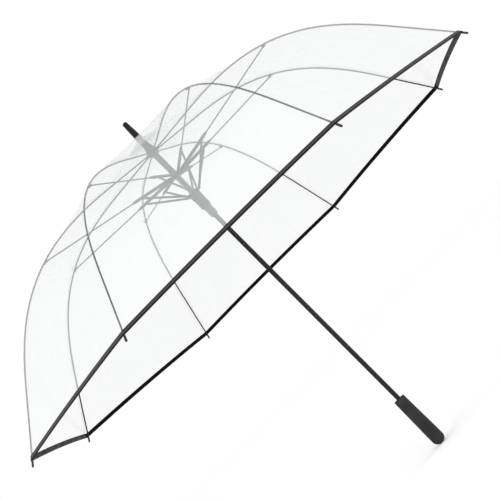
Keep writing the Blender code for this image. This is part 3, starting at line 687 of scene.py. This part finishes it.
def build_spring():
    """Coil with flat end turns: its height is the integral of a pitch that fades at both ends."""
    low, high = heights("spring")
    wire, turns, radius = 0.6 * MM, 11, 7.8 * MM
    t = np.linspace(0, turns, turns * 28 + 1)
    flat_turn, dead_pitch = 0.7, 0.16
    pitch = np.clip(np.minimum(t - flat_turn, turns - flat_turn - t), 0.0, 0.5) + dead_pitch
    rise = np.concatenate([[0], np.cumsum((pitch[1:] + pitch[:-1]) / 2)])
    z = low + wire + (high - low - 2 * wire) * rise / rise[-1]
    turn = 2 * math.pi * t
    path = np.stack([radius * np.cos(turn), radius * np.sin(turn), z], -1)
    across = np.stack([np.cos(turn), np.sin(turn), 0 * turn], -1)
    made = piece("runner_spring", swept(path, circle(wire, 10), side=across), WIRE)
    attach(made, "hub")
    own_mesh(made)
    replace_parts(made, "spring")


def handle_profile(top):
    """The radius swells in a straight line to the belly and closes in a flattened dome."""
    belly, dome_height, rim, socket = 30 * MM, 13 * MM, 13.2, 20 * MM
    upper, lower = np.linspace(top - 1.2 * MM, belly, 12), np.linspace(28 * MM, dome_height, 5)
    h = np.concatenate([upper, lower])
    swell = rim + 1.4 * np.clip((top - h) / (top - belly), 0, 1)
    side = [(r * MM, z) for r, z in zip(swell, h)]
    angle = np.radians(np.linspace(6, 84, 12))
    dome = [(14.6 * MM * math.cos(a) ** 0.8, dome_height * (1 - math.sin(a))) for a in angle]
    mouth = [(SEAT_BORE, socket), (SEAT_BORE, top), (11.9 * MM, top), (12.8 * MM, top - 0.3 * MM)]
    return [*mouth, *side, *dome, (0.4 * MM, 0), (0.4 * MM, socket)]


def facing(outline, y, height):
    """An outline in the x-z plane at that y, raised by height."""
    return np.stack([outline[:, 0], 0 * outline[:, 0] + y, outline[:, 1] + height], -1)


def cut_away(made, tool, sharp):
    """Takes the tool's shape out of a piece, and the tool away."""
    cut = made.modifiers.new("pocket", "BOOLEAN")
    cut.operation = "DIFFERENCE"
    cut.object = tool
    graph = bpy.context.evaluated_depsgraph_get()
    shape = bpy.data.meshes.new_from_object(made.evaluated_get(graph))
    made.modifiers.clear()
    made.data = shape
    bpy.data.objects.remove(tool, do_unlink=True)
    shape.set_sharp_from_angle(angle=math.radians(sharp))


def build_grip():
    """Rubber handle with a pocket for the button, and the button with its rounded pad."""
    sharp, steps = 50, 6
    made = piece("handle", spun(handle_profile(heights("grip")[1]), 96), RUBBER, sharp=sharp)
    low, high = (np.array(corner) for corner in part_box("button"))
    middle = (low[2] + high[2]) / 2
    outline = rounded(8.8 * MM, 15.8 * MM, 2.2 * MM, steps)
    ends = [facing(outline, y, middle) for y in (low[1] - 2.2 * MM, high[1] + 6 * MM)]
    pocket = piece("pocket_tool", rings(np.stack(ends)), RUBBER)
    cut_away(made, pocket, sharp)
    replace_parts(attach(made, "root"), "grip")
    # the outlines shrink as a quarter circle towards the button's face
    edge = 1.3 * MM
    turn = np.linspace(0, math.pi / 2, 6)
    levels = [(0.0, low[1])]
    levels += [(edge * (1 - math.cos(a)), high[1] - edge * (1 - math.sin(a))) for a in turn]
    layers = []
    for inset, y in levels:
        corner = max(1.9 * MM - inset, 0.3 * MM)
        ring = rounded(8 * MM - 2 * inset, 15 * MM - 2 * inset, corner, steps)
        layers.append(facing(ring, y, middle))
    made = piece("release_button", rings(np.stack(layers)), FERRULE_GLOSS)
    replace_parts(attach(made, "button"), "button")


# ---------------------------------------------------------------- ribs, stretchers and struts


def rib_points(s, lift=0.0, y=0.0):
    radius, height = rib_at(s, lift)
    return np.stack([radius, np.full_like(radius, y), height], -1)


def along_flex(start, end, before, within, after):
    """Lengths from start to end, closer together where the rib bends."""
    near, far = RIB_FLEX - FLEX_SPREAD, RIB_FLEX + FLEX_SPREAD
    first, last = np.linspace(start, near, before), np.linspace(far, end, after)
    return np.concatenate([first[:-1], np.linspace(near, far, within), last[1:]])


def flex_ends(azimuth):
    """Where the bend of a rib starts and ends, in the row frame."""
    return [in_frame(rib_at(RIB_FLEX + way * FLEX_SPREAD), azimuth) for way in (-1, 1)]


def bracket_shape():
    """The rib's flat eye at the crown, and a clip folded round the rib over the stretcher's end."""
    eye = lug(NOTCH, rib_at(5 * MM), 2.5 * MM, 1.7 * MM, -1.25 * MM, 1.25 * MM)
    near = LINE[0][np.argmin(np.hypot(LINE[1] - BRACKET[0], LINE[2] - BRACKET[1]))]
    run = near + np.linspace(-6, 6, 9) * MM
    ends = np.array([0.82, 0.97, 1, 1, 1, 1, 1, 0.97, 0.82])
    clip = swept(rib_points(run, -1.0 * MM), circle(2.5 * MM, 18), ends)
    above = BRACKET + np.array([0, 1.3 * MM])
    cheek = lug(above, BRACKET, 2.6 * MM, 1.9 * MM, 1.2 * MM, 2.4 * MM)
    back = lug(above, BRACKET, 2.6 * MM, 1.9 * MM, -2.3 * MM, -1.3 * MM)
    rivet = pin(BRACKET, PIN_R, -2.6 * MM, STRETCHER_LAYER[1], RIVET_HEAD, 1.7 * MM)
    return joined(eye, clip, cheek, back, rivet)


def tip_shape():
    """A moulded cap over the rib's end: its radius at shares of its length."""
    start = HEM_LENGTH + 0.3 * MM
    share = np.array([0, 0.04, 0.12, 0.17, 0.22, 0.6, 0.8, 0.9, 0.97, 1.0])
    radius = np.array([1.9, 2.4, 2.4, 2.1, 2.15, 2.3, 2.3, 2.1, 1.6, 0.7]) * MM
    return swept(rib_points(start + (RIB_LENGTH - start) * share), circle(1.0, 18), radius)


# Section of a channel folded from strip, (across, up), open below
CHANNEL = np.array(
    [(-1.3, -2.6), (-0.75, -2.6), (-0.75, 1.9), (0.75, 1.9), (0.75, -2.6), (1.3, -2.6)]
    + [(1.3, 2.1), (0.95, 2.6), (-0.95, 2.6), (-1.3, 2.1)]
) * MM


def bar_points(start, way, lengths, layer):
    """Points of a straight bar in the middle of its layer, at lengths from its start."""
    at = start + way * lengths[:, None]
    return np.stack([at[:, 0], np.full(len(at), sum(layer) / 2), at[:, 1]], -1)


def stretcher_shape():
    """A folded channel to just past the elbow, then a rod with a flattened eye."""
    reach = np.linalg.norm(BRACKET - HUB)
    way = (BRACKET - HUB) / reach
    low, high = STRETCHER_LAYER
    lengths = np.array([1.2, 6, 50, 90, 96, 103, 108]) * MM
    tall = np.array([1.0, 1.25, 1.3, 1.3, 1.25, 0.8, 0.55])
    line = bar_points(HUB, way, lengths, STRETCHER_LAYER)
    arm = swept(line, CHANNEL, np.stack([np.ones(7), tall], -1))
    lengths = np.concatenate([[99 * MM, 102 * MM], np.linspace(106 * MM, reach - 4 * MM, 12)])
    thick = np.concatenate([[0.8, 0.95], np.ones(12)])
    line = bar_points(HUB, way, lengths, STRETCHER_LAYER)
    slender = swept(line, circle(1.5 * MM, 12), np.stack([thick * 0.86, thick], -1))
    near_eye = lug(HUB, HUB + way * 7 * MM, 2.6 * MM, 2.6 * MM, low, high)
    far_start = HUB + way * (reach - 6 * MM)
    far_eye = lug(far_start, BRACKET, 1.5 * MM, 2.4 * MM, low + 0.2 * MM, high - 0.2 * MM)
    elbow = pin(ELBOW, PIN_R, 3.2 * MM, 8.4 * MM, RIVET_HEAD, 1.8 * MM)
    cap = pin(HUB, 1.0 * MM, 2.9 * MM, 5.5 * MM, 0.5 * MM, 1.8 * MM)
    return joined(arm, slender, near_eye, far_eye, elbow, cap)


def strut_shape():
    """A lower channel, turned over, with flattened ends."""
    length = np.linalg.norm(RUNNER - ELBOW)
    way = (RUNNER - ELBOW) / length
    ends = np.array([2.5, 5, 9]) * MM
    lengths = np.concatenate([ends, [50 * MM], length - ends[::-1]])
    tall = np.array([0.55, 0.8, 1, 1, 1, 0.8, 0.55])
    line = bar_points(ELBOW, way, lengths, STRUT_LAYER)
    return joined(
        swept(line, CHANNEL * [1, -0.85], np.stack([np.ones(7), tall], -1)),
        lug(ELBOW, ELBOW + way * 6 * MM, 2.3 * MM, 1.7 * MM, *STRUT_LAYER),
        lug(RUNNER - way * 6 * MM, RUNNER, 1.7 * MM, 2.3 * MM, *STRUT_LAYER),
        pin(RUNNER, 1.0 * MM, 5.85 * MM, 8.4 * MM, RIVET_HEAD, 1.7 * MM),
    )


def build_stations():
    """Rib, fittings, tip, stretcher and strut, made at azimuth 0 and turned to each rib."""
    lengths = along_flex(1.5 * MM, HEM_LENGTH + 2 * MM, 34, 31, 36)
    rod = swept(rib_points(lengths), circle(RIB_R, 14))
    fittings, tip, stretcher, strut = bracket_shape(), tip_shape(), stretcher_shape(), strut_shape()
    for k in range(1, RIBS + 1):
        azimuth = rib_azimuth(k)
        at = lambda shape: turned_to(shape, azimuth)
        inner, outer = f"rib_inner_{k}", f"rib_outer_{k}"
        made = piece(f"rib_{k}", at(rod), RIB_LACQUER)
        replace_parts(made, inner, outer)
        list(flex_ends(azimuth))
        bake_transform(made)
        made = piece(f"rib_fittings_{k}", at(fittings), RIB_LACQUER)
        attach(made, inner)
        made = piece(f"rib_tip_{k}", at(tip), TIP_PLASTIC)
        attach(made, outer)
        made = piece(f"stretcher_arm_{k}", at(stretcher), RIB_LACQUER)
        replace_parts(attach(made, f"stretcher_{k}"), f"stretcher_{k}")
        made = piece(f"strut_arm_{k}", at(strut), RIB_LACQUER)
        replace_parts(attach(made, f"strut_{k}"), f"strut_{k}")


# ---------------------------------------------------------------- canopy


def gore_points(s, t, side, lift=FILM_LIFT):
    """Half of a gore between its middle (t = 0) and its rib (t = 1), in the gore's frame.

    Each level line is a chord from rib to rib that bows inward by a shallow parabola.
    """
    radius, height = film_at(s, lift)
    out, half = radius * math.cos(HALF), radius * math.sin(HALF)
    bow = -6 * MM * np.sin(math.pi * np.clip(s / HEM_LENGTH, 0, 1)) ** 2 * (1 - t**2)
    slope = np.interp(s, LINE[0], LINE[3])
    x = out + bow * np.sin(slope)
    y = side * half * t
    z = height + bow * np.cos(slope)
    return np.stack([x, y * np.ones_like(x), z], -1)


def open_grid(points, flip):
    """An open sheet through a grid of points."""
    rows, columns = points.shape[:2]
    index = np.arange(rows * columns).reshape(rows, columns)
    quads = np.stack([index[:-1, :-1], index[1:, :-1], index[1:, 1:], index[:-1, 1:]], -1)
    quads = quads.reshape(-1, 4)
    return points.reshape(-1, 3), [quads[:, ::-1] if flip else quads]


def surface_area(shape):
    """Area of a shape of quads, each half the length of the cross product of its diagonals."""
    points, faces = shape
    total = 0.0
    for f in faces:
        a, b, c, d = (points[f[:, i]] for i in range(4))
        total += np.linalg.norm(np.cross(c - a, d - b), axis=1).sum() / 2
    return float(total)


def declare_film(shape, width, length):
    """Works out the flat length, lengthened where the bow makes the area larger than it; the result
    is not used.
    """
    area = surface_area(shape)
    length = max(length, area / width * 1.002)


def half_name(k, side):
    return f"{k}_{'a' if side < 0 else 'b'}"


def build_film(k, side, part, s, anchor, body):
    """Half of one part of a gore, with its distance from the rib and from the apex as UV."""
    azimuth = 2 * HALF * (k - 1)
    t = np.linspace(0, 1, 19)
    grid_s, grid_t = np.meshgrid(s, t, indexing="ij")
    points = gore_points(grid_s, grid_t, side)
    from_rib = np.abs(points[:, -1:, 1]) - np.abs(points[..., 1])
    shape = turned_to(open_grid(points, side > 0), azimuth)
    uv = np.stack([from_rib, grid_s], -1).reshape(-1, 2)
    made = piece(f"film_{part}_{half_name(k, side)}", shape, FILM, uv, 180)
    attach(made, body)
    in_frame(anchor, azimuth)
    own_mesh(made)
    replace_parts(made, f"panel_{k}")
    declare_film(shape, float(np.abs(points[..., 1]).max()), float(s[-1] - s[0]))


def build_crown_film(k):
    """The top of a gore: it stays at the apex."""
    azimuth = 2 * HALF * (k - 1)
    s, t = np.linspace(0, CROWN_FILM, 19), np.linspace(-1, 1, 25)
    grid_s, grid_t = np.meshgrid(s, t, indexing="ij")
    points = gore_points(grid_s, grid_t, 1)
    from_rib = points[:, -1:, 1] - np.abs(points[..., 1])
    shape = turned_to(open_grid(points, True), azimuth)
    uv = np.stack([from_rib, grid_s], -1).reshape(-1, 2)
    made = piece(f"film_crown_{k}", shape, FILM, uv, 180)
    ends = [film_at(np.array(v)) for v in (4 * MM, CROWN_FILM - 2 * MM)]
    ends = [in_frame((r * math.cos(HALF), z), azimuth) for r, z in ends]
    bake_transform(made)
    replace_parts(made, f"panel_{k}")
    declare_film(shape, float(points[..., 1].max() * 2), CROWN_FILM)


def build_hem(k, side):
    """Half of a gore's edge tape: a flattened tube carried along the scalloped edge."""
    azimuth = 2 * HALF * (k - 1)
    middle, reach, thick, scallop = HEM_LENGTH - 4.4 * MM, 5.5 * MM, 0.9 * MM, 3.5 * MM
    turn = np.arange(20) * 2 * math.pi / 20
    grid_t, grid_a = np.meshgrid(np.linspace(0, 1, 21), turn, indexing="ij")
    s = middle - scallop * (1 - grid_t**2) + reach * np.cos(grid_a)
    points = gore_points(s, grid_t, side, FILM_LIFT + 0.1 * MM)
    slope = np.interp(s, LINE[0], LINE[3])
    lift = thick * np.sign(np.sin(grid_a)) * np.abs(np.sin(grid_a)) ** 0.7
    points[..., 0] += lift * np.sin(slope)
    points[..., 2] += lift * np.cos(slope)
    shape = turned_to(rings(points), azimuth)
    around_u = np.where(np.sin(grid_a) >= -0.01, (1 - np.cos(grid_a)) / 2, 0.0)
    uv = np.stack([around_u, grid_t], -1).reshape(-1, 2)
    made = piece(f"hem_tape_{half_name(k, side)}", shape, TAPE, uv)
    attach(made, f"hem_{k}")
    anchor = (FLEX[0] * math.cos(HALF), FLEX[1])
    in_frame(anchor, azimuth)
    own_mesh(made)
    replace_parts(made, f"hem_{k}")


def build_strip(k):
    """Strip of film over a rib, as wide as the weld, that covers the edges of both gores."""
    azimuth = rib_azimuth(k)
    s = along_flex(FILM_JOIN + 2 * MM, HEM_LENGTH - 8 * MM, 26, 21, 26)
    y = np.linspace(-STRIP_WIDTH / 2, STRIP_WIDTH / 2, 7)
    grid_s, grid_y = np.meshgrid(s, y, indexing="ij")
    radius, height = film_at(grid_s, FILM_LIFT + 0.35 * MM)
    drop = np.abs(grid_y) * math.sin(HALF) * 0.9
    slope = np.interp(grid_s, LINE[0], LINE[3])
    inward, down = drop * np.sin(slope), 0.3 * drop * np.cos(slope)
    points = np.stack([radius - inward, grid_y, height - down], -1)
    shape = turned_to(open_grid(points, True), azimuth)
    uv = np.stack([np.full_like(grid_s, 0.02), grid_s], -1).reshape(-1, 2)
    made = piece(f"seam_strip_{k}", shape, STRIP_FILM, uv, 180)
    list(flex_ends(azimuth))
    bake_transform(made)
    declare_film(shape, 0.0105, float(s[-1] - s[0]))


def build_canopy():
    inner = np.concatenate([[CROWN_FILM, 88 * MM, 100 * MM], np.linspace(FILM_JOIN, RIB_FLEX, 24)])
    outer = np.linspace(RIB_FLEX, HEM_LENGTH - 6 * MM, 31)
    crown_anchor = (PIVOT_RING * math.cos(HALF), NOTCH[1])
    flex_anchor = (FLEX[0] * math.cos(HALF), FLEX[1])
    for k in range(1, RIBS + 1):
        for side in (-1, 1):
            build_film(k, side, "upper", inner, crown_anchor, f"panel_{k}")
            build_film(k, side, "lower", outer, flex_anchor, f"hem_{k}")
            build_hem(k, side)
        build_crown_film(k)
        build_strip(k)


build_shaft()
build_ferrule()
build_crown()
build_hub()
build_runner()
build_spring()
build_grip()
build_stations()
build_canopy()


# ---------------------------------------------------------------- stage, light and camera


def build_stage():
    """A round white floor just under the handle."""
    dull = {"Specular_IOR_Level": 0.1, "Emission_Strength": 0.05}
    look = Finish("studio_floor", (0.93, 0.93, 0.93), 0.9, **dull)
    white = look.mix(look.noise(3, 3), (0.92, 0.92, 0.92), (0.94, 0.94, 0.94))
    look.set(Base_Color=white, Emission_Color=white)
    r = np.array([0.01, 0.5, 2, 8, 40.0])[:, None]
    turn = np.arange(48) * 2 * math.pi / 48
    points = np.stack([r * np.cos(turn), r * np.sin(turn), 0 * r * turn - 0.3 * MM], -1)
    flat = points.reshape(-1, 3)
    index = np.arange(len(flat)).reshape(len(r), -1)
    a, b = index[:-1], index[1:]
    quads = np.stack([a, b, np.roll(b, -1, 1), np.roll(a, -1, 1)], -1).reshape(-1, 4)
    piece("floor", (flat, [quads, index[:1]]), look.material)


def build_light():
    world = bpy.data.worlds.new("studio")
    bpy.context.scene.world = world
    world.use_nodes = True
    tree = world.node_tree
    background = tree.nodes["Background"]
    background.inputs["Color"].default_value = (1, 1, 1, 1)
    background.inputs["Strength"].default_value = 1.02

    def softbox(name, place, size, power, target=(0, 0, 0.55)):
        lamp = bpy.data.lights.new(name, "AREA")
        lamp.shape = "RECTANGLE"
        lamp.size, lamp.size_y = size
        lamp.energy = power
        made = bpy.data.objects.new(name, lamp)
        bpy.context.scene.collection.objects.link(made)
        made.location = place
        made.rotation_mode = "QUATERNION"
        made.rotation_quaternion = (Vector(place) - Vector(target)).to_track_quat("Z", "Y")

    softbox("key_softbox", (0.75, -3.3, 1.0), (0.3, 1.9), 15)
    softbox("top_softbox", (-1.4, -2.4, 3.0), (1.2, 1.2), 20)
    softbox("side_softbox", (3.0, 1.2, 1.2), (0.4, 1.8), 7)


def build_camera():
    """Looks level with the rim and a little up, rolled so that the stick runs down to the right."""
    pitch, roll = math.radians(6.17), math.radians(44.94)
    forward = Vector((0, math.cos(pitch), math.sin(pitch)))
    right = Vector((1, 0, 0))
    up = Vector((0, -math.sin(pitch), math.cos(pitch)))
    data = bpy.data.cameras.new("camera")
    data.lens, data.sensor_width = 78.57, 36
    data.clip_start, data.clip_end = 0.05, 100
    camera = bpy.data.objects.new("camera", data)
    bpy.context.scene.collection.objects.link(camera)
    camera.location = Vector((0, 0, 0.547)) - 2.318 * forward - 0.00056 * right + 0.0184 * up
    across = math.cos(roll) * right - math.sin(roll) * up
    above = math.sin(roll) * right + math.cos(roll) * up
    camera.rotation_mode = "QUATERNION"
    turn = Matrix((across, above, -forward)).transposed()
    camera.rotation_quaternion = turn.to_quaternion()
    bpy.context.scene.camera = camera


build_stage()
build_light()
build_camera()
bpy.context.scene.view_settings.view_transform = "Standard"
